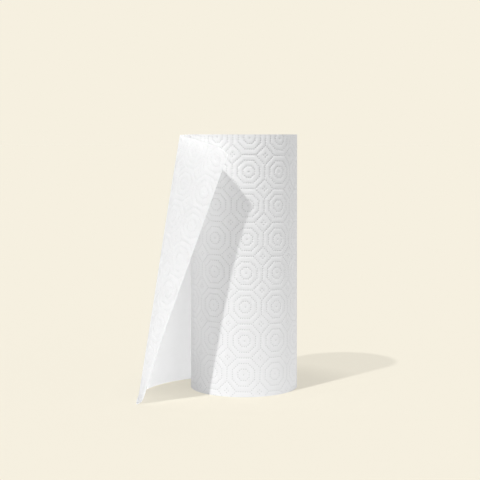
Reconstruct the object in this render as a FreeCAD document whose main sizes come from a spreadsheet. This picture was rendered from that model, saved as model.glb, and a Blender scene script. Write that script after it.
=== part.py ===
"""Kitchen paper towel roll standing on its end, with its leading sheet hanging loose.

One long web of embossed tissue is wound on a cardboard core. The outermost turn leaves the roll
at the back left and flares round the left side, so that its foot stands well out to the front
left while its top corner curls in front of the roll.

Frame: millimetres, Z up, the origin on the roll's axis in the face that it stands on, and the
photographed front towards -Y. Angles are counted counter-clockwise from +X, seen from above.
"""

import FreeCAD, Part
import math
import os
import Sketcher
from FreeCAD import Rotation, Vector

DOC_NAME = "paper_towel_roll"

# Driving dimensions, in millimetres and degrees: alias, value, what it is
SIZES = [
    ("web_width", 279.4, "width of the towel web, so the length of the roll"),
    ("roll_radius", 59.0, "outside of the wound turns"),
    ("sheet_thickness", 0.5, "embossed two-ply sheet, and the step where the last turn ends"),
    ("core_bore_radius", 21.0, "inside of the cardboard core"),
    ("core_wall", 0.9, "wall of the cardboard core"),
    ("turn_pitch", 6.5, "radial step from one marked turn to the next on the ends"),
    ("turn_gap", 0.4, "width of the gap that marks a turn"),
    ("turn_gap_depth", 1.5, "how far the gap between marked turns reads into the ends"),
    ("end_land", 1.2, "plain ring left beside the core and at the rim"),
    ("leave_angle", 112.7, "where the loose sheet leaves the turns"),
    ("lift_off", 5.7, "angle at which it lifts off the turn beneath"),
    ("loose_length", 184.0, "length of sheet that stands free of the turns"),
    ("fan_height", 596.0, "height of the point from which its fold lines fan out"),
    ("bend_near", 131.0, "radius of its foot over the third of the fan next to the roll"),
    ("bend_middle", 86.0, "radius of its foot over the middle third; the last third is flat"),
]

FOLD_STEPS = 9  # strips across each bent panel of the loose sheet
FAN_TRIES = 12  # rounds that settle where the free edge comes down
OVERRUN = 1.0  # how far a cutting tool stands out of the face that it cuts


def make_sizes(doc):
    """Write the driving dimensions into a spreadsheet, one alias a row."""
    sheet = doc.addObject("Spreadsheet::Sheet", "sizes")
    for row, (alias, value, meaning) in enumerate(SIZES, start=1):
        sheet.set("A%d" % row, alias)
        sheet.set("B%d" % row, str(value))
        sheet.set("C%d" % row, meaning)
        sheet.setAlias("B%d" % row, alias)
    doc.recompute()
    return sheet


def origin_plane(body, role):
    """The body's own origin plane of that role, such as XY_Plane."""
    return next(f for f in body.Origin.OriginFeatures if f.Role == role)


def sketch_on_base(body, name):
    """A sketch on the body's horizontal plane."""
    sketch = body.newObject("Sketcher::SketchObject", name)
    sketch.AttachmentSupport = [(origin_plane(body, "XY_Plane"), "")]
    sketch.MapMode = "FlatFace"
    return sketch


def add_circle(sketch, name, radius, expression):
    """A full circle about the sketch's origin, its radius bound to the sizes."""
    circle = sketch.addGeometry(Part.Circle(Vector(0, 0, 0), Vector(0, 0, 1), radius))
    sketch.addConstraint(Sketcher.Constraint("Coincident", circle, 3, -1, 1))
    index = sketch.addConstraint(Sketcher.Constraint("Radius", circle, radius))
    sketch.renameConstraint(index, name)
    sketch.setExpression("Constraints." + name, expression)


def pad_to_width(body, sketch, name):
    """Raise a sketch to the full width of the web."""
    pad = body.newObject("PartDesign::Pad", name)
    pad.Profile = sketch
    pad.Type = 0
    pad.setExpression("Length", "sizes.web_width")
    sketch.Visibility = False
    body.Tip = pad
    return pad


# Cardboard core


def make_core(doc, sizes):
    """The spiral-wound cardboard tube, cut flush with the web."""
    body = doc.addObject("PartDesign::Body", "cardboard_core")
    body.Label = "cardboard_core"
    ring = sketch_on_base(body, "core_ring")
    bore = sizes.core_bore_radius
    add_circle(ring, "bore_radius", bore, "sizes.core_bore_radius")
    add_circle(ring, "outer_radius", bore + sizes.core_wall,
               "sizes.core_bore_radius + sizes.core_wall")
    pad_to_width(body, ring, "core_tube")
    return body


# Wound turns


def turn_outline(body, sizes):
    """Outline of the turns: a spiral from two half circles, with the last turn's step between.

    The sketch's X axis points to where the loose sheet leaves. The first half circle is the
    turn beneath the sheet. The second has its centre half a sheet along X, so after a whole
    turn the outline has grown by one sheet.
    """
    thick = sizes.sheet_thickness
    inner = sizes.roll_radius - thick
    shift = thick / 2
    sketch = sketch_on_base(body, "turn_outline")
    sketch.setExpression("AttachmentOffset.Rotation.Angle", "sizes.leave_angle")
    axis = Vector(0, 0, 1)
    first = sketch.addGeometry(
        Part.ArcOfCircle(Part.Circle(Vector(0, 0, 0), axis, inner), 0, math.pi))
    second = sketch.addGeometry(
        Part.ArcOfCircle(Part.Circle(Vector(shift, 0, 0), axis, inner + shift),
                         math.pi, 2 * math.pi))
    step = sketch.addGeometry(
        Part.LineSegment(Vector(inner + thick, 0, 0), Vector(inner, 0, 0)))
    for rule in (
        ("Coincident", first, 3, -1, 1),
        ("PointOnObject", second, 3, -1),
        ("PointOnObject", first, 1, -1),
        ("PointOnObject", first, 2, -1),
        ("Coincident", first, 2, second, 1),
        ("PointOnObject", second, 2, -1),
        ("Coincident", second, 2, step, 1),
        ("Coincident", step, 2, first, 1),
    ):
        sketch.addConstraint(Sketcher.Constraint(*rule))
    for name, rule, expression in (
        ("turn_beneath", ("Radius", first, inner), "sizes.roll_radius - sizes.sheet_thickness"),
        ("centre_shift", ("DistanceX", first, 3, second, 3, shift), "sizes.sheet_thickness / 2"),
    ):
        index = sketch.addConstraint(Sketcher.Constraint(*rule))
        sketch.renameConstraint(index, name)
        sketch.setExpression("Constraints." + name, expression)
    add_circle(sketch, "core_seat", sizes.core_bore_radius + sizes.core_wall,
               "sizes.core_bore_radius + sizes.core_wall")
    return sketch


def make_turns(doc, sizes):
    """The wound web: spiral outline outside, seated on the core inside."""
    body = doc.addObject("PartDesign::Body", "wound_turns")
    pad_to_width(body, turn_outline(body, sizes), "turns")
    return body


def spiral_edge(doc, name, radius):
    """A flat spiral over all marked turns, starting at the given radius."""
    spiral = doc.addObject("Part::Spiral", name)
    spiral.setExpression("Growth", "sizes.turn_pitch")
    spiral.setExpression("Rotations", "(sizes.roll_radius - sizes.sheet_thickness"
                         " - sizes.core_bore_radius - sizes.core_wall"
                         " - 2 * sizes.end_land - sizes.turn_gap) / sizes.turn_pitch")
    spiral.setExpression("Radius", radius)
    spiral.SegmentLength = 1
    spiral.Visibility = False
    return spiral


def make_turn_gap(doc, end, level):
    """The spiral gap that shows the turns on one end, as a cutter from the height of level."""
    start = "sizes.core_bore_radius + sizes.core_wall + sizes.end_land"
    ribbon = doc.addObject("Part::RuledSurface", "turn_ribbon_" + end)
    ribbon.Curve1 = spiral_edge(doc, "gap_inside_" + end, start)
    ribbon.Curve2 = spiral_edge(doc, "gap_outside_" + end, start + " + sizes.turn_gap")
    ribbon.setExpression("Placement.Base.z", level)
    gap = doc.addObject("Part::Extrusion", "turn_gap_" + end)
    gap.Base = ribbon
    gap.DirMode = "Custom"
    gap.Dir = Vector(0, 0, 1)
    gap.setExpression("LengthFwd", "sizes.turn_gap_depth + %g" % OVERRUN)
    gap.Solid = True
    return gap


# Loose sheet


def full_fan(sizes):
    """Fan angle of the free corner, in the flat sheet."""
    return math.atan2(sizes.loose_length, sizes.fan_height - sizes.web_width)


def fold_line(sizes, fan):
    """Direction of the straight fold line at a fan angle, and the sheet's outward normal there.

    Loose paper bends about straight lines only. Here they fan out from one point above the
    place where the sheet leaves: the first third of the fan has one bend, the second another,
    and the last third is flat.
    """
    leave = math.radians(sizes.leave_angle)
    if fan == 0:
        return Vector(0, 0, -1), Vector(math.cos(leave), math.sin(leave), 0)
    heading = leave + math.pi / 2 - math.radians(sizes.lift_off)
    line = Vector(0, 0, -1)
    outward = line.cross(Vector(math.cos(heading), math.sin(heading), 0))
    third = full_fan(sizes) / 3
    for bend in (sizes.fan_height / sizes.bend_near, sizes.fan_height / sizes.bend_middle, 0):
        part = min(fan, third) if bend else fan
        axis = outward - line * bend
        turn = Rotation(axis, math.degrees(part * axis.Length))
        line, outward = turn.multVec(line), turn.multVec(outward)
        fan -= part
    return line, outward


def foot_fan(sizes):
    """Fan angle where the free edge meets the surface that the sheet stands on."""
    fan = 0
    for _ in range(FAN_TRIES):
        line, _ = fold_line(sizes, fan)
        fan = math.asin(sizes.loose_length * -line.z / sizes.fan_height)
    return fan


def section(sizes, fan, last_foot_fan):
    """Corners of the sheet on one fold line: lower out, lower in, upper out, upper in.

    The foot is cut level at zero height, and beyond it the lower corners are on the free edge.
    """
    height = sizes.fan_height
    line, outward = fold_line(sizes, fan)
    _, radial = fold_line(sizes, 0)
    centre = radial * (sizes.roll_radius - sizes.sheet_thickness / 2) + Vector(0, 0, height)
    lower = []
    upper = []
    for side in (1, -1):
        start = centre + outward * (side * sizes.sheet_thickness / 2)
        if fan <= last_foot_fan:
            reach = start.z / -line.z
        else:
            reach = sizes.loose_length / math.sin(fan)
        lower.append(start + line * reach)
        upper.append(start + line * ((height - sizes.web_width) / math.cos(fan)))
    return lower + upper


def smooth_curve(points):
    """One smooth curve through points at equal steps of the fan."""
    curve = Part.BSplineCurve()
    curve.interpolate(points, Parameters=[i / (len(points) - 1) for i in range(len(points))])
    return curve


def strip_edges(curve):
    """The curve's pieces between neighbouring fold lines."""
    return [curve.toShape(i / FOLD_STEPS, (i + 1) / FOLD_STEPS) for i in range(FOLD_STEPS)]


def panel_faces(sizes, fan_from, fan_to, last_foot_fan):
    """Outer, inner, lower and upper faces of the sheet between two fold lines."""
    step = (fan_to - fan_from) / FOLD_STEPS
    fans = [fan_from + i * step for i in range(FOLD_STEPS)] + [fan_to]
    rows = zip(*(section(sizes, fan, last_foot_fan) for fan in fans))
    low_out, low_in, top_out, top_in = (strip_edges(smooth_curve(list(row))) for row in rows)
    pairs = ((low_out, top_out), (low_in, top_in), (low_out, low_in), (top_out, top_in))
    return [Part.makeRuledSurface(*strip) for pair in pairs for strip in zip(*pair)]


def flat_face(*points):
    """A plane face with straight edges between the points."""
    return Part.Face(Part.makePolygon(points + points[:1]))


def make_loose_sheet(doc, sizes):
    """The leading sheet: a developable wall that stands on its foot, its free corner flat."""
    last_foot_fan = foot_fan(sizes)
    breaks = sorted([0, last_foot_fan, full_fan(sizes) * 2 / 3])
    faces = []
    for fan_from, fan_to in zip(breaks, breaks[1:]):
        faces += panel_faces(sizes, fan_from, fan_to, last_foot_fan)
    low_out, low_in, top_out, top_in = section(sizes, 0, last_foot_fan)
    faces.append(flat_face(low_out, top_out, top_in, low_in))
    low_out, low_in, top_out, top_in = section(sizes, breaks[-1], last_foot_fan)
    tip_out, tip_in = section(sizes, full_fan(sizes), last_foot_fan)[2:]
    faces += [
        flat_face(low_out, tip_out, top_out),
        flat_face(low_in, tip_in, top_in),
        flat_face(low_out, tip_out, tip_in, low_in),
        flat_face(top_out, tip_out, tip_in, top_in),
    ]
    shell = Part.makeShell(faces)
    shell.sewShape()
    solid = Part.makeSolid(Part.Shell(shell.Faces))
    if solid.Volume < 0:
        solid.reverse()
    loose = doc.addObject("Part::Feature", "loose_sheet")
    loose.Shape = solid
    return loose


def make_web(doc, sizes):
    """All turns and the loose sheet: one web, so one solid."""
    turns = make_turns(doc, sizes)
    gaps = doc.addObject("Part::Compound", "turn_gaps")
    gaps.Links = [
        make_turn_gap(doc, "foot", "%g" % -OVERRUN),
        make_turn_gap(doc, "head", "sizes.web_width - sizes.turn_gap_depth"),
    ]
    marked = doc.addObject("Part::Cut", "marked_turns")
    marked.Base = turns
    marked.Tool = gaps
    web = doc.addObject("Part::MultiFuse", "towel_web")
    web.Label = "towel_web"
    web.Shapes = [marked, make_loose_sheet(doc, sizes)]
    return web


# Check and export


def check(doc, parts):
    """Stop on any failed object and on any part that isn't one valid solid."""
    for item in doc.Objects:
        if "Invalid" in item.State or "Error" in item.State:
            raise RuntimeError("%s failed to recompute" % item.Name)
    for part in parts:
        if part.Shape.isNull() or not part.Shape.isValid() or len(part.Shape.Solids) != 1:
            raise RuntimeError("%s isn't one valid solid" % part.Label)


def main():
    doc = FreeCAD.newDocument(DOC_NAME)
    sizes = make_sizes(doc)
    parts = [make_core(doc, sizes), make_web(doc, sizes)]
    doc.recompute()
    check(doc, parts)
    os.makedirs("parts", exist_ok=True)
    for part in parts:
        part.Shape.exportStep("parts/%s.step" % part.Label)
        print("%s: %.0f mm3, %d faces" % (part.Label, part.Shape.Volume, len(part.Shape.Faces)))


main()
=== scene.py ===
"""Looks of a kitchen paper towel roll: embossed tissue wound on a chipboard core.

The web of tissue is drawn flat first, with its dotted octagons as real dimples. Along the web,
x is 0 where the loose sheet leaves the roll, positive on the loose sheet and negative back round
the roll. The flat web is then wound on the roll, or bent into the loose sheet, which stands on
its foot at the front left. Metres, Z up, the photographed front towards -Y.
"""

import math

import bpy
import numpy as np
from bpy.props import FloatProperty, FloatVectorProperty, IntProperty, PointerProperty
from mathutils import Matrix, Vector, kdtree
from mathutils.geometry import delaunay_2d_cdt


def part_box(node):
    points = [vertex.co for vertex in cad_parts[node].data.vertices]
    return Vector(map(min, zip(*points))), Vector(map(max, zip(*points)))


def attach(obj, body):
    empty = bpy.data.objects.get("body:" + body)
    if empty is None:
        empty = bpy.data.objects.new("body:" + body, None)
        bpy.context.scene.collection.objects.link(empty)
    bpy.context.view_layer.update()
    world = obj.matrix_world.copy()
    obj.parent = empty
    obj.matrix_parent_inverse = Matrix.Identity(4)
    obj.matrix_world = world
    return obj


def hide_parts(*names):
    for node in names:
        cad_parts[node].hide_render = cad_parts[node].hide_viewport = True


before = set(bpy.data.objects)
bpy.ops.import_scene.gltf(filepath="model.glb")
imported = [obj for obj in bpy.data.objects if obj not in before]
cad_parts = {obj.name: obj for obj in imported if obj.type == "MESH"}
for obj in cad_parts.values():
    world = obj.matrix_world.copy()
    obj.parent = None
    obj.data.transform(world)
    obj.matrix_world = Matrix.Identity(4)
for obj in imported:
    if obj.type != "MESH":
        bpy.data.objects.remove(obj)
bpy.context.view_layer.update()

bl_info = {
    "name": "Paper towel roll",
    "version": (1, 0, 0),
    "blender": (4, 5, 0),
    "location": "3D Viewport > Sidebar > Towel roll",
    "description": "Builds an embossed paper towel roll with its leading sheet hanging loose",
    "category": "Add Mesh",
}

MM = 0.001
CORE_NODE = "cardboard_core"
WEB_NODE = "towel_web"
WOUND_TISSUE = "creped_tissue_wound"
EMBOSSED_PLY = "creped_tissue_embossed_ply"
PLAIN_PLY = "creped_tissue_plain_ply"
CHIPBOARD = "grey_chipboard"
PAINTED_BOARD = "matt_painted_board"
PRESSED = "pressed"  # how far the tissue is pressed in at each point, 1 at the bottom of a dot; the material paints shade into the dots from it
SHARP = math.radians(70)  # edges with more of a turn than this stay sharp, such as a cut edge
WEB_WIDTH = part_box(WEB_NODE)[1].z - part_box(WEB_NODE)[0].z
CORE_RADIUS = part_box(CORE_NODE)[1].x


# Sizes and colours that a user would change


def length(name, default, description):
    """A property in metres, with its default given in millimetres."""
    return FloatProperty(name=name, default=default * MM, description=description,
                         subtype="DISTANCE", unit="LENGTH", precision=5)


def angle(name, default, description):
    """A property for an angle, with its default given in degrees."""
    return FloatProperty(name=name, default=math.radians(default), description=description,
                         subtype="ANGLE", unit="ROTATION")


def srgb(hex_value):
    """Linear red, green and blue of an sRGB hex value such as 0xF6F0E0."""
    channels = [(hex_value >> shift & 255) / 255 for shift in (16, 8, 0)]
    return tuple(c / 12.92 if c <= 0.04045 else ((c + 0.055) / 1.055) ** 2.4 for c in channels)


def colour(name, hex_value, description):
    """A colour property with its default given as an sRGB hex value."""
    return FloatVectorProperty(name=name, default=srgb(hex_value), description=description,
                               subtype="COLOR", size=3, min=0, max=1)


class TowelRollSizes(bpy.types.PropertyGroup):
    """The roll, its core and how its leading sheet hangs."""

    roll_radius: length("Roll radius", 59.0, "Outside of the wound turns")
    thickness: length("Sheet thickness", 0.5, "Embossed two-ply tissue")
    core_wall: length("Core wall", 0.9, "Wall of the chipboard core")
    seam_pitch: length("Core seam pitch", 76.0, "Height of one turn of the core's seam")
    leave_angle: angle("Leave angle", 112.7, "Where the loose sheet leaves, from +X")
    lift_off: angle("Lift off", 5.7, "Angle at which it lifts off the turn beneath")
    loose_length: length("Loose length", 184.0, "Length of web that stands free")
    sheet_length: length("Sheet length", 279.4, "From one perforated line to the next")
    fan_height: length("Fan height", 596.0, "Height of the point its fold lines fan out from")
    bend_near: length("Near bend", 131.0, "Foot radius over the third next to the roll")
    bend_middle: length("Middle bend", 86.0, "Foot radius over the middle third")


class TowelEmbossSizes(bpy.types.PropertyGroup):
    """The pattern of dotted octagons that is pressed into the tissue."""

    pitch: length("Octagon pitch", 36.0, "From one octagon's centre to the next")
    lean: angle("Pattern lean", 1.5, "How far the pattern's columns lean along the web")
    centre_along: length("Centre along web", -205.4, "One octagon's centre, along the web")
    centre_up: length("Centre up", 167.6, "The same centre's height")
    back_stretch: length("Back stretch", 15.6, "Extra length of the pattern round the back")
    dot_radius: length("Dot radius", 0.68, "Rim of one dimple")
    dot_depth: length("Dot depth", 0.75, "Depth of one dimple below the tissue round it")
    puff_height: length("Puff height", 0.5, "How far the tissue puffs up between the dots")
    puff_reach: length("Puff reach", 0.65, "Distance from a dot at which the puff is high")
    dot_sides: IntProperty(name="Dot sides", default=8, min=5, max=16,
                           description="Points round the rim of one dimple")


class TowelColours(bpy.types.PropertyGroup):
    """Colours of the tissue, the chipboard and the stage."""

    wound: colour("Wound tissue", 0xDADADA, "Bleached tissue, turn on turn")
    single: colour("Single sheet", 0xFFFFFF, "Bleached tissue, the loose sheet")
    chipboard: colour("Chipboard", 0xB79F82, "Grey-brown recycled board")
    stage: colour("Stage", 0xF6F0E0, "Pale cream floor and background")


# Small tools


def add_node(tree, kind, inputs=(), **settings):
    """A node of that kind. inputs maps a socket's name or number to a value or an output."""
    node = tree.nodes.new(kind)
    for name, value in settings.items():
        setattr(node, name, value)
    for key, value in dict(inputs).items():
        if isinstance(value, bpy.types.NodeSocket):
            tree.links.new(value, node.inputs[key])
        else:
            node.inputs[key].default_value = value
    return node


def shade(mesh):
    """Shade the mesh smooth, but keep the cut edges sharp."""
    mesh.shade_smooth()
    mesh.set_sharp_from_angle(angle=SHARP)


def mesh_object(name, vertices, faces, material, pressed=None):
    """A smooth mesh object at the origin. pressed says how far each point is pressed in, 0 to 1."""
    mesh = bpy.data.meshes.new(name)
    mesh.from_pydata(np.asarray(vertices).tolist(), [], faces)
    mesh.materials.append(material)
    shade(mesh)
    if pressed is not None:
        layer = mesh.attributes.new(PRESSED, "FLOAT", "POINT")
        layer.data.foreach_set("value", np.asarray(pressed, dtype=np.float32))
    piece = bpy.data.objects.new(name, mesh)
    bpy.context.scene.collection.objects.link(piece)
    return piece


def node_group(name, inputs):
    """A geometry node tree with a geometry input and output and the named inputs."""
    tree = bpy.data.node_groups.new(name, "GeometryNodeTree")
    tree.interface.new_socket("Geometry", in_out="INPUT", socket_type="NodeSocketGeometry")
    for label, kind in inputs.items():
        tree.interface.new_socket(label, in_out="INPUT", socket_type="NodeSocket" + kind)
    tree.interface.new_socket("Geometry", in_out="OUTPUT", socket_type="NodeSocketGeometry")
    return tree


def apply_tree(piece, tree, values):
    """Run a geometry node tree on the piece and keep the result as its plain mesh."""
    modifier = piece.modifiers.new(tree.name, "NODES")
    modifier.node_group = tree
    for item in tree.interface.items_tree:
        if item.in_out == "INPUT" and item.name in values:
            modifier[item.identifier] = values[item.name]
    evaluated = piece.evaluated_get(bpy.context.evaluated_depsgraph_get())
    mesh = bpy.data.meshes.new_from_object(evaluated)
    piece.modifiers.remove(modifier)
    piece.data = mesh
    shade(mesh)
    return piece


def close_tree(tree, geometry, material):
    """End a tree: real geometry, its material and the output."""
    real = add_node(tree, "GeometryNodeRealizeInstances", {0: geometry})
    painted = add_node(tree, "GeometryNodeSetMaterial", {0: real.outputs[0], "Material": material})
    add_node(tree, "NodeGroupOutput", {0: painted.outputs[0]})


# Materials

NOISE_LOW, NOISE_HIGH = 0.3, 0.7  # a noise texture's values are nearly all between these
TISSUE_ROUGHNESS = 0.95
TISSUE_GLOSS = 0.15  # tissue has nearly no sheen
FIBRE_CLUMP = 0.8 * MM  # fibres are 0.02 mm across, too fine to show, so their clumps are drawn
FIBRE_RELIEF = 0.12 * MM
CLOUD_SIZE = 9 * MM  # patches where the fibres lie a little closer
CLOUD_SHADE = 0.985  # brightness of the darkest of those patches
PAINTED_SHADE_FROM, PAINTED_SHADE_TO = 0.2, 0.8  # pressed value where a dot's painted shade begins, and where it is full
FACE_THROUGH = 0.85  # share of the light that goes through the loose sheet's embossed ply
BACK_THROUGH = 0.87  # the same for its plain ply, which only spreads it
WOUND_DOT_SHADE = 0.54  # painted shade: share of its colour that the bottom of a dot loses, for the shade in its pit
LOOSE_DOT_SHADE = 0.1  # the same painted shade on the loose sheet, where the plies have relaxed
BOARD_ROUGHNESS = 0.85
BOARD_GLOSS = 0.3
BOARD_FLECK = 1.4 * MM  # size of the recycled fibres' flecks
FLECK_STRETCH = 0.35  # a fleck's width as a share of its length, which is along the tube
FLECK_DARK, FLECK_LIGHT = 0.82, 1.12  # brightness of the flecks against the board's own
BOARD_RELIEF = 0.1 * MM


def make_tissue(name, tint, through, dot_shade):
    """Bleached tissue, creped and embossed: matt and soft, with a faint grain.

    The grain is a noise that bumps the surface, and a coarser one gives it faint clouds. The
    pressed value darkens the dots with painted shade, the shade of their pits painted into the
    colour. A share of the light goes through a single sheet, so that its shaded side glows a
    little.
    """
    material = bpy.data.materials.new(name)
    material.use_nodes = True
    tree = material.node_tree
    shader = tree.nodes["Principled BSDF"]
    place = add_node(tree, "ShaderNodeTexCoord").outputs["Object"]
    shader.inputs["Roughness"].default_value = TISSUE_ROUGHNESS
    shader.inputs["IOR"].default_value = 1.5
    shader.inputs["Specular IOR Level"].default_value = TISSUE_GLOSS
    clumps = add_node(tree, "ShaderNodeTexNoise",
                      {"Vector": place, "Scale": 1 / FIBRE_CLUMP, "Detail": 4, "Roughness": 0.6})
    cloud = add_node(tree, "ShaderNodeTexNoise",
                     {"Vector": place, "Scale": 1 / CLOUD_SIZE, "Detail": 3})
    cloudy = add_node(tree, "ShaderNodeMapRange",
                      {"Value": cloud.outputs[0], "From Min": NOISE_LOW,
                       "From Max": NOISE_HIGH, "To Min": CLOUD_SHADE, "To Max": 1})
    pressed = add_node(tree, "ShaderNodeAttribute", attribute_name=PRESSED)
    # painted shade: the colour is darkened at the dots' bottoms, as if in the shade of their pits
    painted_dot_shading = add_node(tree, "ShaderNodeMapRange",
                     {"Value": pressed.outputs["Fac"], "From Min": PAINTED_SHADE_FROM,
                      "From Max": PAINTED_SHADE_TO, "To Min": 1, "To Max": 1 - dot_shade})
    level = add_node(tree, "ShaderNodeMath", {0: cloudy.outputs[0], 1: painted_dot_shading.outputs[0]},
                     operation="MULTIPLY")
    tinted = add_node(tree, "ShaderNodeVectorMath", {0: tint, 1: level.outputs[0]},
                      operation="MULTIPLY")
    tree.links.new(tinted.outputs[0], shader.inputs["Base Color"])
    bump = add_node(tree, "ShaderNodeBump",
                    {"Strength": 0.5, "Distance": FIBRE_RELIEF, "Height": clumps.outputs[0]})
    tree.links.new(bump.outputs[0], shader.inputs["Normal"])
    if through:
        behind = add_node(tree, "ShaderNodeBsdfTranslucent",
                          {"Color": tinted.outputs[0], "Normal": bump.outputs[0]})
        mixed = add_node(tree, "ShaderNodeMixShader",
                         {0: through, 1: shader.outputs[0], 2: behind.outputs[0]})
        tree.links.new(mixed.outputs[0], tree.nodes["Material Output"].inputs["Surface"])
    return material


def make_chipboard(tint):
    """Grey chipboard, spiral wound: dull brown-grey, flecked with darker and lighter fibres.

    One noise, stretched along the tube, makes both the flecks and their slight relief.
    """
    material = bpy.data.materials.new(CHIPBOARD)
    material.use_nodes = True
    tree = material.node_tree
    shader = tree.nodes["Principled BSDF"]
    place = add_node(tree, "ShaderNodeTexCoord").outputs["Object"]
    shader.inputs["Roughness"].default_value = BOARD_ROUGHNESS
    shader.inputs["Specular IOR Level"].default_value = BOARD_GLOSS
    long_grain = add_node(tree, "ShaderNodeMapping",
                          {"Vector": place, "Scale": (1, 1, FLECK_STRETCH)})
    flecks = add_node(tree, "ShaderNodeTexNoise",
                      {"Vector": long_grain.outputs[0], "Scale": 1 / BOARD_FLECK, "Detail": 6,
                       "Roughness": 0.7})
    level = add_node(tree, "ShaderNodeMapRange",
                     {"Value": flecks.outputs[0], "From Min": NOISE_LOW,
                      "From Max": NOISE_HIGH, "To Min": FLECK_DARK, "To Max": FLECK_LIGHT})
    tinted = add_node(tree, "ShaderNodeVectorMath", {0: tint, 1: level.outputs[0]},
                      operation="MULTIPLY")
    tree.links.new(tinted.outputs[0], shader.inputs["Base Color"])
    bump = add_node(tree, "ShaderNodeBump",
                    {"Strength": 0.4, "Distance": BOARD_RELIEF, "Height": flecks.outputs[0]})
    tree.links.new(bump.outputs[0], shader.inputs["Normal"])
    return material


# Embossed web, drawn flat

EDGE_STEP = 1.3 * MM  # between points along an edge of the web
FILL_STEP = 2.3 * MM  # between the points that carry the puffed tissue between the dots
CLEAR_OF_DOT = 1.15 * MM  # those points stay this far from a dot's centre
EDGE_CLEAR = EDGE_STEP / 3  # the points inside the web stay this far from its outline
DIMPLE_FALL = 3  # how steeply the tissue falls from a dot's rim to its bottom
WOUND_RELIEF = (0.24, 0.88)  # share of the relief at the roll's foot and at its upper end
LOOSE_RELIEF = (0.75, 0.85)  # the same for the loose sheet, which relaxes
RELIEF_RISE = 1.5  # the relief grows with this power of the height
BACK_STEP = 5 * MM  # between the points of the plain side
HIDDEN_GAP = 0.1 * MM  # between the bottom of a dot and the plain side
SAME_POINT = 1e-7  # points of the web that are nearer than this would fall together
PATTERN_REACH = 0.7  # metres of pattern on each side of its centre, more than the web needs
STRETCH_FROM, STRETCH_TO = -115 * MM, 130 * MM  # along the web, where the pattern is stretched
SLIT_STEP = 4 * MM  # from one slit of a perforated line to the next
SLIT_SHARE = 0.75  # share of that step that is cut
SLIT_DEPTH = 0.4 * MM
SLIT_HALF = 0.35 * MM  # half the width over which the tissue dips at a slit
SLIT_CLEAR = 1 * MM  # the pattern's points stay this far from a perforated line
NIB_STEP = EDGE_STEP / 2  # between points along a torn edge
NIB_LENGTH = 0.35 * MM  # how far a torn bond stands out
FIRST_NIB, NIB_EVERY = 3, 6  # counted in those points, so a nib is about one slit step apart
TORN_THICKNESS = 0.15 * MM  # of the web at a torn edge, where its plies lie flat
TORN_REACH = 3 * MM  # from a torn edge to where the web has its full thickness
AT_EDGE = MM / 10  # points this near an edge belong to it


def octagon_side(apothem, side, steps, ends=(0, 0)):
    """Dots along one side of an octagon, numbered from the right side counter-clockwise."""
    half = apothem * math.tan(math.pi / 8)
    turn = side * math.pi / 4
    across = np.linspace(-half, half, steps + 1)[ends[0]:steps + 1 - ends[1]]
    return [(apothem * math.cos(turn) - a * math.sin(turn),
             apothem * math.sin(turn) + a * math.cos(turn)) for a in across]


def tile_dots(pitch):
    """Dots of one repeat: three dotted octagons, one in another, and a small diamond.

    From an octagon's centre to its side is a sixth, a third or a half of the pitch. The outer
    octagon's right and upper sides are the next ones' left and lower sides, so a repeat has
    only the first two. The diamond fills the gap between four outer octagons.
    """
    dots = [(0, 0)]
    for side in range(8):
        dots += octagon_side(pitch / 6, side, 2, ends=(0, 1))
        dots += octagon_side(pitch / 3, side, 4, ends=(0, 1))
    for side in (0, 2):
        dots += octagon_side(pitch / 2, side, 6)
    for side in (1, 3, 5, 7):
        dots += octagon_side(pitch / 2, side, 6, ends=(1, 1))
    diamond = pitch / 18
    for across, up in ((diamond, 0), (-diamond, 0), (0, diamond), (0, -diamond)):
        dots.append((pitch / 2 + across, pitch / 2 + up))
    return np.array(dots)


def tile_fill(pitch, dots):
    """Points between the dots of one repeat, in staggered rows."""
    count = round(pitch / FILL_STEP)
    step = pitch / count
    rows = np.arange(count)
    grid = np.array([((i + 0.5 * (j % 2)) * step - pitch / 2, j * step - pitch / 2)
                     for i in rows for j in rows])
    shifts = np.array([(i, j) for i in (-1, 0, 1) for j in (-1, 0, 1)]) * pitch
    every_dot = (dots[None] + shifts[:, None]).reshape(-1, 2)
    gaps = np.linalg.norm(grid[:, None] - every_dot[None], axis=2).min(axis=1)
    return grid[gaps > CLEAR_OF_DOT]


def smooth_step(value):
    """0 below 0, 1 above 1, and smooth between."""
    value = np.clip(value, 0, 1)
    return value * value * (3 - 2 * value)


def back_shift(along, emboss):
    """How far the pattern is shifted along the web by its stretch round the back."""
    share = (along - STRETCH_FROM) / (STRETCH_TO - STRETCH_FROM)
    return emboss.back_stretch * smooth_step(share)


def repeat_tile(tile, emboss, low, high):
    """The tile's points over the web between low and high, a margin included."""
    lean = emboss.lean
    axes = np.array([[math.cos(lean), -math.sin(lean)], [math.sin(lean), math.cos(lean)]])
    centre = np.array([emboss.centre_along, emboss.centre_up])
    reach = int(PATTERN_REACH / emboss.pitch)
    steps = np.array([(i, j) for i in range(-reach, reach) for j in range(-reach, reach)])
    points = ((steps * emboss.pitch)[:, None] + tile[None]).reshape(-1, 2) @ axes + centre
    points[:, 0] += back_shift(points[:, 0], emboss)
    margin = emboss.pitch / 4
    inside = np.all((points > np.array(low) - margin) & (points < np.array(high) + margin), axis=1)
    return points[inside]


def edge_points(start, end, width, torn):
    """Points round the web's outline. If the end is torn, a nib stands out at each bond."""
    corners = [(start, 0), (end, 0), (end, width), (start, width)]
    points = []
    for side, (first, last) in enumerate(zip(corners, corners[1:] + corners[:1])):
        first, last = np.array(first), np.array(last)
        has_nibs = torn and side == 1
        step = NIB_STEP if has_nibs else EDGE_STEP
        count = round(np.linalg.norm(last - first) / step)
        points += [first + (last - first) * i / count for i in range(count)]
        if has_nibs:
            for i in range(FIRST_NIB, count, NIB_EVERY):
                points[i - count] += (NIB_LENGTH, 0)
    return np.array(points)


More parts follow.
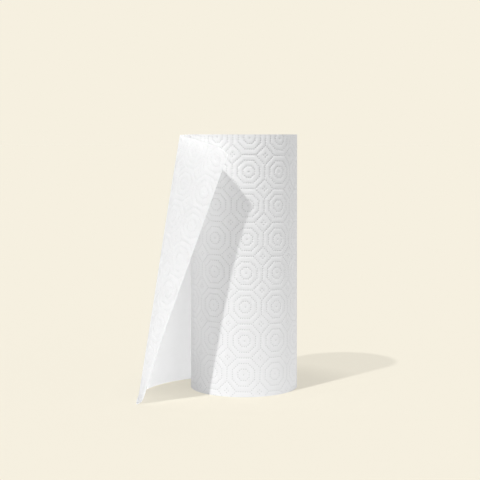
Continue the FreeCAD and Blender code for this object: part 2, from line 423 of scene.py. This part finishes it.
def slit_points(line, width):
    """Points on a perforated line and just beside it."""
    step = SLIT_STEP / 4
    heights = np.arange(step, width - step / 2, step)
    return np.array([(line + side * SLIT_HALF, up) for up in heights for side in (-1, 0, 1)])


def in_slit(points, lines):
    """True for the points that are in a slit of a perforated line."""
    on_line = np.abs(points[:, :1] - lines).min(axis=1, initial=1) < SLIT_HALF / 2
    return on_line & (points[:, 1] % SLIT_STEP < SLIT_SHARE * SLIT_STEP)


def relief(points, dots, emboss):
    """Height of the tissue at flat points, dimpled at the dots, and how far it is pressed in."""
    tree = kdtree.KDTree(len(dots))
    for index, dot in enumerate(dots):
        tree.insert((dot[0], dot[1], 0), index)
    tree.balance()
    gaps = np.array([tree.find((x, y, 0))[2] for x, y in points])
    puff = emboss.puff_height * (1 - np.exp(-(gaps / emboss.puff_reach) ** 2))
    pressed = np.exp(-DIMPLE_FALL * (gaps / emboss.dot_radius) ** 2)
    return puff - emboss.dot_depth * pressed, pressed


def flat_mesh(edge, inner):
    """Triangles of a flat sheet over the edge points and the points inside them."""
    points = np.vstack([edge, inner])
    loop = list(range(len(edge)))
    only_inside = 1
    result = delaunay_2d_cdt([Vector(p) for p in points], [], [loop], only_inside, SAME_POINT)
    if len(result[0]) != len(points):
        raise RuntimeError("Points of the web fell together")
    return np.array([tuple(v) for v in result[0]]), [tuple(face) for face in result[2]]


def inner_points(start, end, width, dots, lines, emboss):
    """Points of the face inside its outline: dots, their rims, the puffed tissue and slits."""
    turns = 2 * math.pi * np.arange(emboss.dot_sides) / emboss.dot_sides
    rim = emboss.dot_radius * np.stack([np.cos(turns), np.sin(turns)], axis=1)
    fill = repeat_tile(tile_fill(emboss.pitch, tile_dots(emboss.pitch)), emboss,
                       (start, 0), (end, width))
    inner = np.vstack([dots, (dots[:, None] + rim[None]).reshape(-1, 2), fill])
    inside = ((inner[:, 0] > start + EDGE_CLEAR) & (inner[:, 0] < end - EDGE_CLEAR)
              & (inner[:, 1] > EDGE_CLEAR) & (inner[:, 1] < width - EDGE_CLEAR))
    inner = inner[inside]
    for line in lines:
        apart = np.abs(inner[:, 0] - line) > SLIT_CLEAR
        inner = np.vstack([inner[apart], slit_points(line, width)])
    return inner


def close_sheet(face_points, face, back_points, back, count):
    """One closed mesh of a face, a back and a strip between their outlines of count points."""
    shift = len(face_points)
    faces = face + [tuple(shift + i for i in reversed(triangle)) for triangle in back]
    for i in range(count):
        j = (i + 1) % count
        faces.append((i, shift + i, shift + j, j))
    return np.vstack([face_points, back_points]), faces


def flat_web(start, end, width, sizes, emboss, shares, torn=False):
    """One stretch of the web as a closed flat sheet: embossed face, plain back and its edges.

    The shares say how much of the relief is left at the web's lower and upper edge.
    Returns points along the web, up it and out of it, faces, and how far each point is pressed.
    """
    edge = edge_points(start, end, width, torn)
    dots = repeat_tile(tile_dots(emboss.pitch), emboss, (start, 0), (end, width))
    lines = np.arange(sizes.loose_length - sizes.sheet_length, start, -sizes.sheet_length)
    face_points, face = flat_mesh(edge, inner_points(start, end, width, dots, lines, emboss))
    across = np.arange(start + BACK_STEP, end - BACK_STEP / 2, BACK_STEP)
    up = np.arange(BACK_STEP, width - BACK_STEP / 2, BACK_STEP)
    back_inner = np.array([(x, y) for x in across for y in up])
    back_points, back = flat_mesh(edge, back_inner)

    def share(points):
        return shares[0] + (shares[1] - shares[0]) * (points[:, 1] / width) ** RELIEF_RISE

    heights, pressed = relief(face_points, dots, emboss)
    slit = in_slit(face_points, lines)
    heights[slit] -= SLIT_DEPTH
    # the slits get the full painted shade of a dot's bottom, for the shade in the cut
    pressed[slit] = 1
    to_end = np.minimum(face_points[:, 1], width - face_points[:, 1])
    heights = np.maximum(heights, -emboss.dot_depth * smooth_step(to_end / BACK_STEP))
    heights *= share(face_points)
    depths = np.full(len(back_points), -sizes.thickness)
    if torn:
        heights *= smooth_step((end - face_points[:, 0]) / TORN_REACH)
        depths[back_points[:, 0] > end - AT_EDGE] = -TORN_THICKNESS
    lowered = share(back_points) * (emboss.dot_depth - sizes.thickness) + HIDDEN_GAP
    depths[len(edge):] -= lowered[len(edge):]
    face_points = np.column_stack([face_points, heights])
    back_points = np.column_stack([back_points, depths])
    points, faces = close_sheet(face_points, face, back_points, back, len(edge))
    return points, faces, np.concatenate([pressed, np.zeros(len(back_points))])


# Winding and bending the web


def make_winding(material):
    """Geometry nodes that wind the flat web on the roll, one sheet further out each turn."""
    tree = node_group("wind_on_roll", {"Roll radius": "Float", "Sheet thickness": "Float",
                                       "Leave angle": "Float"})
    given = add_node(tree, "NodeGroupInput").outputs
    flat = add_node(tree, "ShaderNodeSeparateXYZ",
                    {0: add_node(tree, "GeometryNodeInputPosition").outputs[0]}).outputs

    def maths(operation, first, second):
        return add_node(tree, "ShaderNodeMath", {0: first, 1: second},
                        operation=operation).outputs[0]

    turned = maths("DIVIDE", flat["X"], given["Roll radius"])
    growth = maths("MULTIPLY", maths("DIVIDE", turned, 2 * math.pi), given["Sheet thickness"])
    radius = maths("ADD", maths("ADD", given["Roll radius"], growth), flat["Z"])
    where = maths("ADD", turned, given["Leave angle"])
    wound = add_node(tree, "ShaderNodeCombineXYZ", {
        "X": maths("MULTIPLY", radius, maths("COSINE", where, 0)),
        "Y": maths("MULTIPLY", radius, maths("SINE", where, 0)),
        "Z": flat["Y"],
    })
    moved = add_node(tree, "GeometryNodeSetPosition",
                     {"Geometry": given["Geometry"], "Position": wound.outputs[0]})
    close_tree(tree, moved.outputs[0], material)
    return tree


def turn_about(vectors, axis, angles):
    """Vectors turned about one axis by each of the angles."""
    axis = axis / np.linalg.norm(axis)
    cosine = np.cos(angles)[:, None]
    sine = np.sin(angles)[:, None]
    return (vectors * cosine + np.cross(axis, vectors) * sine
            + axis * np.dot(vectors, axis)[..., None] * (1 - cosine))


def fold_lines(fans, sizes):
    """Direction of the fold line at each fan angle, and the sheet's outward normal there."""
    third = math.atan2(sizes.loose_length, sizes.fan_height - WEB_WIDTH) / 3
    heading = sizes.leave_angle + math.pi / 2 - sizes.lift_off
    line = np.array([0.0, 0.0, -1.0])
    outward = np.cross(line, (math.cos(heading), math.sin(heading), 0))
    lines = np.tile(line, (len(fans), 1))
    outwards = np.tile(outward, (len(fans), 1))
    start = 0
    # The last third is straight, and goes on past the free edge
    for bend in (sizes.fan_height / sizes.bend_near, sizes.fan_height / sizes.bend_middle, 0):
        end = start + third
        axis = outward - line * bend
        speed = np.linalg.norm(axis)
        past = fans > start
        angles = (np.clip(fans[past], start, None if not bend else end) - start) * speed
        lines[past] = turn_about(np.tile(line, (past.sum(), 1)), axis, angles)
        outwards[past] = turn_about(np.tile(outward, (past.sum(), 1)), axis, angles)
        line, outward = turn_about(np.array([line, outward]), axis, np.full(2, third * speed))
        start = end
    return lines, outwards


FOOT_SOFTNESS = 2.6 * MM  # height over which the floor holds the foot up
CORNER_SOFTNESS = 5 * MM  # the same at the free corner, which curls out along the floor
FLOOR_SLIDE = 1.3  # how far the corner slides out for each length that the floor holds up
SLIDE_FROM = 34 * MM  # from the free edge to where the foot begins to slide
SLIDE_OVER = 40 * MM  # over which the slide grows
TOP_CURL = 5.6 * MM  # how far the upper edge curls between its bend and its corner
CURL_WAY = (-0.38, -0.43, 0.82)  # outwards and up
CURL_FROM, CURL_OVER = 60 * MM, 110 * MM  # along the sheet, where the curl begins and grows
CURL_FADE, CURL_PAST = 14 * MM, 1 * MM  # it fades over the last of the sheet, and just past it
CURL_UP = 0.3  # share of the height at which it begins
EDGE_FORWARD = 1.85 * MM  # how far the free edge stands forward low down
EDGE_BACK = 1.4 * MM  # how far it leans back at its upper end
LEAN_UP = 0.47  # share of the height at which it begins to lean back
HELD_FULLY = 0.5  # share of the sheet's length from which the floor holds its foot in full
TINY = 1e-9  # keeps a length from being zero


def bend_loose(points, sizes):
    """Flat points of the loose sheet, bent about its fold lines, its free corner on the floor."""
    along, up, out = points.T
    drop = sizes.fan_height - up
    lines, outwards = fold_lines(np.arctan2(along, drop), sizes)
    leave = np.array([math.cos(sizes.leave_angle), math.sin(sizes.leave_angle), 0])
    centre = leave * (sizes.roll_radius - sizes.thickness / 2) + (0, 0, sizes.fan_height)
    curl = TOP_CURL * smooth_step((along - CURL_FROM) / CURL_OVER)
    curl *= smooth_step((sizes.loose_length + CURL_PAST - along) / CURL_FADE)
    curl *= smooth_step((up / WEB_WIDTH - CURL_UP) / (1 - CURL_UP))
    bent = centre + lines * np.hypot(along, drop)[:, None] + curl[:, None] * CURL_WAY
    upper = smooth_step((up / WEB_WIDTH - LEAN_UP) / (1 - LEAN_UP))
    lean = -EDGE_FORWARD + (EDGE_FORWARD + EDGE_BACK) * upper
    bent[:, 1] += lean * smooth_step(along / sizes.loose_length) ** 2
    corner = smooth_step((along - sizes.loose_length + SLIDE_FROM) / SLIDE_OVER)
    softness = FOOT_SOFTNESS + (CORNER_SOFTNESS - FOOT_SOFTNESS) * corner
    held = (np.hypot(bent[:, 2], softness) - bent[:, 2]) / 2
    held *= smooth_step(along / sizes.loose_length / HELD_FULLY)
    slide = lines * (1, 1, 0)
    slide /= np.maximum(np.linalg.norm(slide, axis=1), TINY)[:, None]
    slide *= FLOOR_SLIDE * corner[:, None]
    bent += slide * held[:, None]
    bent[:, 2] += held
    return bent + outwards * (out + sizes.thickness / 2)[:, None]


class TOWEL_OT_outer_turn(bpy.types.Operator):
    """Wind the outermost turn, its dotted octagons pressed into it"""

    bl_idname = "towel.outer_turn"
    bl_label = "Outer turn"

    def execute(self, context):
        scene = context.scene
        sizes = scene.towel_sizes
        tissue = bpy.data.materials[WOUND_TISSUE]
        turn = 2 * math.pi * sizes.roll_radius
        points, faces, pressed = flat_web(-turn, 0, WEB_WIDTH, sizes, scene.towel_emboss,
                                          WOUND_RELIEF)
        piece = mesh_object("outer_turn", points, faces, tissue, pressed)
        apply_tree(piece, make_winding(tissue), {
            "Roll radius": sizes.roll_radius,
            "Sheet thickness": sizes.thickness,
            "Leave angle": sizes.leave_angle,
        })
        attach(piece, "root")
        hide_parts(WEB_NODE)
        return {"FINISHED"}


class TOWEL_OT_loose_sheet(bpy.types.Operator):
    """Bend the leading sheet, which flares out from the roll and stands on its foot"""

    bl_idname = "towel.loose_sheet"
    bl_label = "Loose sheet"

    def execute(self, context):
        scene = context.scene
        sizes = scene.towel_sizes
        points, faces, pressed = flat_web(0, sizes.loose_length, WEB_WIDTH, sizes,
                                          scene.towel_emboss, LOOSE_RELIEF, torn=True)
        piece = mesh_object("loose_sheet", bend_loose(points, sizes), faces,
                            bpy.data.materials[EMBOSSED_PLY], pressed)
        piece.data.materials.append(bpy.data.materials[PLAIN_PLY])
        for polygon in piece.data.polygons:
            polygon.material_index = int(all(points[i][2] < 0 for i in polygon.vertices))
        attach(piece, "root")
        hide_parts(WEB_NODE)
        return {"FINISHED"}


# Wound turns

POINTS_A_TURN = 80
EDGE_UNEVENNESS = 0.5 * MM  # top to bottom, over the ends of the wound turns
UNEVEN_SIZE = 7 * MM  # size of that unevenness, along the turns and across them
UNEVEN_SEED = 3.0
NOISE_MEAN = 0.5  # a noise texture's mean value
RIBBON_FILL = 0.92  # share of a turn's step that its tissue takes
RIBBON_ROUND = 0.3  # radius of its cut edges, as a share of its thickness
CLEAR_TURNS = 2  # left free beneath the outermost turn, which is a spiral too


def make_spiral(material):
    """Geometry nodes that wind a plain ribbon of tissue from the core out, turn on turn."""
    tree = node_group("wound_ribbon", {
        "Turns": "Float", "Points a turn": "Int", "First radius": "Float",
        "Last radius": "Float", "Ribbon thickness": "Float", "Width": "Float",
        "Edge unevenness": "Float", "Seed": "Float",
    })
    given = add_node(tree, "NodeGroupInput").outputs
    path = add_node(tree, "GeometryNodeCurveSpiral", {
        "Resolution": given["Points a turn"], "Rotations": given["Turns"],
        "Start Radius": given["First radius"], "End Radius": given["Last radius"], "Height": 0,
    })
    upright = add_node(tree, "GeometryNodeSetCurveNormal", {"Curve": path.outputs[0]},
                       mode="Z_UP")
    section = add_node(tree, "GeometryNodeCurvePrimitiveQuadrilateral",
                       {"Width": given["Ribbon thickness"], "Height": given["Width"]})
    radius = add_node(tree, "ShaderNodeMath", {0: given["Ribbon thickness"], 1: RIBBON_ROUND},
                      operation="MULTIPLY")
    rounded = add_node(tree, "GeometryNodeFilletCurve",
                       {"Curve": section.outputs[0], "Radius": radius.outputs[0], "Count": 1},
                       mode="POLY")
    ribbon = add_node(tree, "GeometryNodeCurveToMesh", {
        "Curve": upright.outputs[0], "Profile Curve": rounded.outputs[0], "Fill Caps": True})
    wander = add_node(tree, "ShaderNodeTexNoise", {
        "W": given["Seed"], "Scale": 1 / UNEVEN_SIZE, "Detail": 2}, noise_dimensions="4D")
    centred = add_node(tree, "ShaderNodeMath", {0: wander.outputs[0], 1: NOISE_MEAN},
                       operation="SUBTRACT")
    lift = add_node(tree, "ShaderNodeMath",
                    {0: centred.outputs[0], 1: given["Edge unevenness"]}, operation="MULTIPLY")
    offset = add_node(tree, "ShaderNodeCombineXYZ", {"Z": lift.outputs[0]})
    moved = add_node(tree, "GeometryNodeSetPosition",
                     {"Geometry": ribbon.outputs[0], "Offset": offset.outputs[0]})
    close_tree(tree, moved.outputs[0], material)
    return tree


class TOWEL_OT_wound_turns(bpy.types.Operator):
    """Wind the turns beneath the outermost one, whose edges show on both ends"""

    bl_idname = "towel.wound_turns"
    bl_label = "Wound turns"

    def execute(self, context):
        sizes = context.scene.towel_sizes
        tissue = bpy.data.materials[WOUND_TISSUE]
        step = sizes.thickness
        first = CORE_RADIUS + step / 2
        deepest = context.scene.towel_emboss.dot_depth + HIDDEN_GAP
        turns = int((sizes.roll_radius - deepest - CLEAR_TURNS * step - first) / step)
        start = mesh_object("wound_turns", [(0, 0, 0)], [], tissue)
        piece = apply_tree(start, make_spiral(tissue), {
            "Turns": float(turns), "Points a turn": POINTS_A_TURN, "First radius": first,
            "Last radius": first + turns * step, "Ribbon thickness": step * RIBBON_FILL,
            "Width": WEB_WIDTH - EDGE_UNEVENNESS, "Edge unevenness": EDGE_UNEVENNESS,
            "Seed": UNEVEN_SEED,
        })
        for vertex in piece.data.vertices:
            vertex.co.z += WEB_WIDTH / 2
        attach(piece, "root")
        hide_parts(WEB_NODE)
        return {"FINISHED"}


# Core

SEAM_WIDTH = 0.7 * MM  # gap between the edges of the core's spiral strip
SEAM_DEPTH = 0.25 * MM
CORE_SIDES = 96
CORE_ROWS = 40


def core_ring(height, radius, sizes, seam):
    """Points round the tube at one height, a column of them in its spiral seam."""
    points = []
    half = SEAM_WIDTH / 2 / radius
    turns = [-half, 0, half] + [2 * math.pi * i / CORE_SIDES for i in range(1, CORE_SIDES)]
    start = 2 * math.pi * height / sizes.seam_pitch
    for index, turn in enumerate(turns):
        here = radius + (seam if index == 1 else 0)
        points.append((here * math.cos(start + turn), here * math.sin(start + turn), height))
    return points


class TOWEL_OT_core(bpy.types.Operator):
    """Make the chipboard core, a tube with a spiral seam inside and out"""

    bl_idname = "towel.core"
    bl_label = "Core"

    def execute(self, context):
        sizes = context.scene.towel_sizes
        outer = CORE_RADIUS
        inner = outer - sizes.core_wall
        heights = [WEB_WIDTH * i / CORE_ROWS for i in range(CORE_ROWS + 1)]
        rings = [core_ring(z, outer, sizes, -SEAM_DEPTH) for z in heights]
        rings += [core_ring(z, inner, sizes, SEAM_DEPTH) for z in reversed(heights)]
        count = len(rings[0])
        faces = []
        for row in range(len(rings)):
            after = (row + 1) % len(rings)
            for i in range(count):
                j = (i + 1) % count
                faces.append((row * count + i, row * count + j, after * count + j,
                              after * count + i))
        points = [point for ring in rings for point in ring]
        piece = mesh_object("core_tube", points, faces, bpy.data.materials[CHIPBOARD])
        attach(piece, "root")
        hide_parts(CORE_NODE)
        return {"FINISHED"}


# Stage

FLOOR_HALF = 30.0  # metres from the roll to the floor's edges
PHOTO_WIDTH = 480  # the photograph's width and height in pixels
FOCAL_PIXELS = 1198.9  # the camera's focal length in those pixels
HORIZON_PIXEL = 134.4  # row of the eye level, at the roll's upper end
AXIS_PIXEL = 243.85  # column of the roll's axis
CAMERA_DISTANCE = 22.6  # from the roll's axis, in roll radii
SENSOR = 36.0  # width of the camera's sensor in millimetres
LIGHT_LEVEL = 1.375  # brightness of white board that lies flat under all the light
SKY_SHARE = 0.585  # share of that light that comes from all round
KEY_HEADING = 48.7  # degrees from +X that the key light travels to
KEY_ELEVATION = 55.2  # degrees above the floor that it comes from
KEY_SPREAD = 1.6  # degrees that the key light is across
BOUNCE_LEFT = (-0.12, 0.54)  # X beside the roll, and the floor's whiteness to bounced light
BOUNCE_RIGHT = (0.12, 0.8)  # the same on the right, as if a white card lay there
BOUNCE_FAR = 0.33  # the same far away, so that the roll is darker towards its upper end
BOUNCE_FROM, BOUNCE_TO = 0.1, 0.8  # distances from the axis between which it goes over to that
SIDE_RISE = 0.1  # how much more light comes from the right than from ahead
ABOVE_FALL = 0.68  # how much less light comes from straight above than from ahead
MEAN_RISE = 2 / 3  # mean upward share of the light from all round that falls on a flat floor
SHADE_NEAR = (0.09, 0.58)  # distance from the axis, and how much of its look the light gives
SHADE_FAR = (0.15, 0.33)  # the same on the open floor


def seen_directly(tree):
    """1 for a ray from the camera, or by way of a mirror or glass, and 0 after a matt bounce."""
    rays = add_node(tree, "ShaderNodeLightPath").outputs
    seen = rays["Is Camera Ray"]
    for kind in ("Is Glossy Ray", "Is Transmission Ray"):
        seen = add_node(tree, "ShaderNodeMath", {0: seen, 1: rays[kind]},
                        operation="MAXIMUM").outputs[0]
    return add_node(tree, "ShaderNodeMath", {0: seen, 1: rays["Is Diffuse Ray"]},
                    operation="SUBTRACT", use_clamp=True).outputs[0]


def make_floor_material(tint):
    """Matt painted board, pale cream.

    A part of its colour glows by itself, so that shadows stay as light as in the photograph. To
    light that bounces off it, it is as white as the BOUNCE values say.
    """
    material = bpy.data.materials.new(PAINTED_BOARD)
    material.use_nodes = True
    tree = material.node_tree
    tree.nodes.clear()
    seen = seen_directly(tree)
    place = add_node(tree, "ShaderNodeTexCoord").outputs["Object"]
    distance = add_node(tree, "ShaderNodeVectorMath", {0: place}, operation="LENGTH")
    kept = add_node(tree, "ShaderNodeMapRange", {
        "Value": distance.outputs["Value"], "From Min": SHADE_NEAR[0], "From Max": SHADE_FAR[0],
        "To Min": 1 - SHADE_NEAR[1], "To Max": 1 - SHADE_FAR[1]})
    share = add_node(tree, "ShaderNodeMath", {0: seen, 1: kept.outputs[0]},
                     operation="MULTIPLY")
    beside = add_node(tree, "ShaderNodeMapRange", {
        "Value": add_node(tree, "ShaderNodeSeparateXYZ", {0: place}).outputs["X"],
        "From Min": BOUNCE_LEFT[0], "From Max": BOUNCE_RIGHT[0],
        "To Min": BOUNCE_LEFT[1], "To Max": BOUNCE_RIGHT[1]})
    cast = add_node(tree, "ShaderNodeMapRange", {
        "Value": distance.outputs["Value"], "From Min": BOUNCE_FROM, "From Max": BOUNCE_TO,
        "To Min": beside.outputs[0], "To Max": BOUNCE_FAR})
    level = tuple(c / LIGHT_LEVEL for c in tint)
    choice = add_node(tree, "ShaderNodeMix", {"Factor": seen}, data_type="VECTOR")
    tree.links.new(cast.outputs[0], choice.inputs["A"])
    choice.inputs["B"].default_value = level
    lit = add_node(tree, "ShaderNodeBsdfDiffuse", {"Color": choice.outputs["Result"]})
    own = add_node(tree, "ShaderNodeEmission", {"Color": (*tint, 1), "Strength": 1})
    mixed = add_node(tree, "ShaderNodeMixShader",
                     {0: share.outputs[0], 1: lit.outputs[0], 2: own.outputs[0]})
    add_node(tree, "ShaderNodeOutputMaterial", {"Surface": mixed.outputs[0]})
    return material


def make_world(tint):
    """Light from all round, weaker from above. The camera sees the cream background instead."""
    world = bpy.data.worlds.new("studio")
    bpy.context.scene.world = world
    world.use_nodes = True
    tree = world.node_tree
    tree.nodes.clear()
    seen = seen_directly(tree)
    way = add_node(tree, "ShaderNodeSeparateXYZ",
                   {0: add_node(tree, "ShaderNodeTexCoord").outputs["Generated"]}).outputs
    ahead = LIGHT_LEVEL * SKY_SHARE / (1 - ABOVE_FALL * MEAN_RISE)
    beside = add_node(tree, "ShaderNodeMapRange", {
        "Value": way["X"], "From Min": -1, "From Max": 1,
        "To Min": ahead * (1 - SIDE_RISE), "To Max": ahead * (1 + SIDE_RISE)})
    above = add_node(tree, "ShaderNodeMapRange", {"Value": way["Z"], "To Max": ahead * ABOVE_FALL})
    strength = add_node(tree, "ShaderNodeMath", {0: beside.outputs[0], 1: above.outputs[0]},
                        operation="SUBTRACT")
    light = add_node(tree, "ShaderNodeBackground",
                     {"Color": (1, 1, 1, 1), "Strength": strength.outputs[0]})
    shown = add_node(tree, "ShaderNodeBackground", {"Color": (*tint, 1), "Strength": 1})
    mixed = add_node(tree, "ShaderNodeMixShader",
                     {0: seen, 1: light.outputs[0], 2: shown.outputs[0]})
    add_node(tree, "ShaderNodeOutputWorld", {"Surface": mixed.outputs[0]})


def make_key():
    """The key light, a sun at the front left. It gives what the sky leaves of LIGHT_LEVEL."""
    lamp = bpy.data.lights.new("key", "SUN")
    elevation = math.radians(KEY_ELEVATION)
    lamp.energy = LIGHT_LEVEL * (1 - SKY_SHARE) * math.pi / math.sin(elevation)
    lamp.angle = math.radians(KEY_SPREAD)
    key = bpy.data.objects.new("key", lamp)
    heading = math.radians(KEY_HEADING)
    travel = Vector((math.cos(heading) * math.cos(elevation),
                     math.sin(heading) * math.cos(elevation), -math.sin(elevation)))
    key.rotation_mode = "QUATERNION"
    key.rotation_quaternion = travel.to_track_quat("-Z", "Y")
    bpy.context.scene.collection.objects.link(key)


def make_camera(sizes):
    """The photograph's camera: level, its eye at the roll's upper end."""
    data = bpy.data.cameras.new("camera")
    data.sensor_width = SENSOR
    data.lens = SENSOR * FOCAL_PIXELS / PHOTO_WIDTH
    data.shift_x = (PHOTO_WIDTH / 2 - AXIS_PIXEL) / PHOTO_WIDTH
    data.shift_y = (HORIZON_PIXEL - PHOTO_WIDTH / 2) / PHOTO_WIDTH
    camera = bpy.data.objects.new("camera", data)
    camera.location = (0, -CAMERA_DISTANCE * sizes.roll_radius, WEB_WIDTH)
    camera.rotation_euler = (math.pi / 2, 0, 0)
    bpy.context.scene.collection.objects.link(camera)
    bpy.context.scene.camera = camera


class TOWEL_OT_stage(bpy.types.Operator):
    """Set the floor, the light and the camera"""

    bl_idname = "towel.stage"
    bl_label = "Stage"

    def execute(self, context):
        scene = context.scene
        tint = tuple(scene.towel_colours.stage)
        corners = [(-FLOOR_HALF, -FLOOR_HALF, 0), (FLOOR_HALF, -FLOOR_HALF, 0),
                   (FLOOR_HALF, FLOOR_HALF, 0), (-FLOOR_HALF, FLOOR_HALF, 0)]
        floor = mesh_object("floor", corners, [(0, 1, 2, 3)], make_floor_material(tint))
        make_world(tint)
        make_key()
        make_camera(scene.towel_sizes)
        scene.view_settings.view_transform = "Standard"
        return {"FINISHED"}


class TOWEL_OT_materials(bpy.types.Operator):
    """Make the tissue and the chipboard"""

    bl_idname = "towel.materials"
    bl_label = "Materials"

    def execute(self, context):
        colours = context.scene.towel_colours
        make_tissue(WOUND_TISSUE, tuple(colours.wound), 0, WOUND_DOT_SHADE)
        make_tissue(EMBOSSED_PLY, tuple(colours.single), FACE_THROUGH, LOOSE_DOT_SHADE)
        make_tissue(PLAIN_PLY, tuple(colours.single), BACK_THROUGH, LOOSE_DOT_SHADE)
        make_chipboard(tuple(colours.chipboard))
        return {"FINISHED"}


# Panel


class TOWEL_PT_panel(bpy.types.Panel):
    """Sizes, colours and the operators, in the order in which they build the roll"""

    bl_label = "Towel roll"
    bl_idname = "TOWEL_PT_panel"
    bl_space_type = "VIEW_3D"
    bl_region_type = "UI"
    bl_category = "Towel roll"

    def draw(self, context):
        scene = context.scene
        for group in (scene.towel_sizes, scene.towel_emboss, scene.towel_colours):
            box = self.layout.box()
            for name in group.bl_rna.properties.keys():
                if name not in ("rna_type", "name"):
                    box.prop(group, name)
        for operator in OPERATORS:
            self.layout.operator(operator.bl_idname)


OPERATORS = (TOWEL_OT_materials, TOWEL_OT_stage, TOWEL_OT_core, TOWEL_OT_wound_turns,
             TOWEL_OT_outer_turn, TOWEL_OT_loose_sheet)
GROUPS = {"towel_sizes": TowelRollSizes, "towel_emboss": TowelEmbossSizes,
          "towel_colours": TowelColours}


def register():
    """Add the sizes, colours, operators and panel."""
    for group in GROUPS.values():
        bpy.utils.register_class(group)
    for item in (*OPERATORS, TOWEL_PT_panel):
        bpy.utils.register_class(item)
    for name, group in GROUPS.items():
        setattr(bpy.types.Scene, name, PointerProperty(type=group))


def unregister():
    """Take them out again, in the opposite order."""
    for name in GROUPS:
        delattr(bpy.types.Scene, name)
    for item in (TOWEL_PT_panel, *reversed(OPERATORS), *reversed(GROUPS.values())):
        bpy.utils.unregister_class(item)


def main():
    """Build the roll and its stage."""
    register()
    for operator in OPERATORS:
        name = operator.bl_idname.split(".")[1]
        getattr(bpy.ops.towel, name)()


if __name__ == "__main__":
    main()
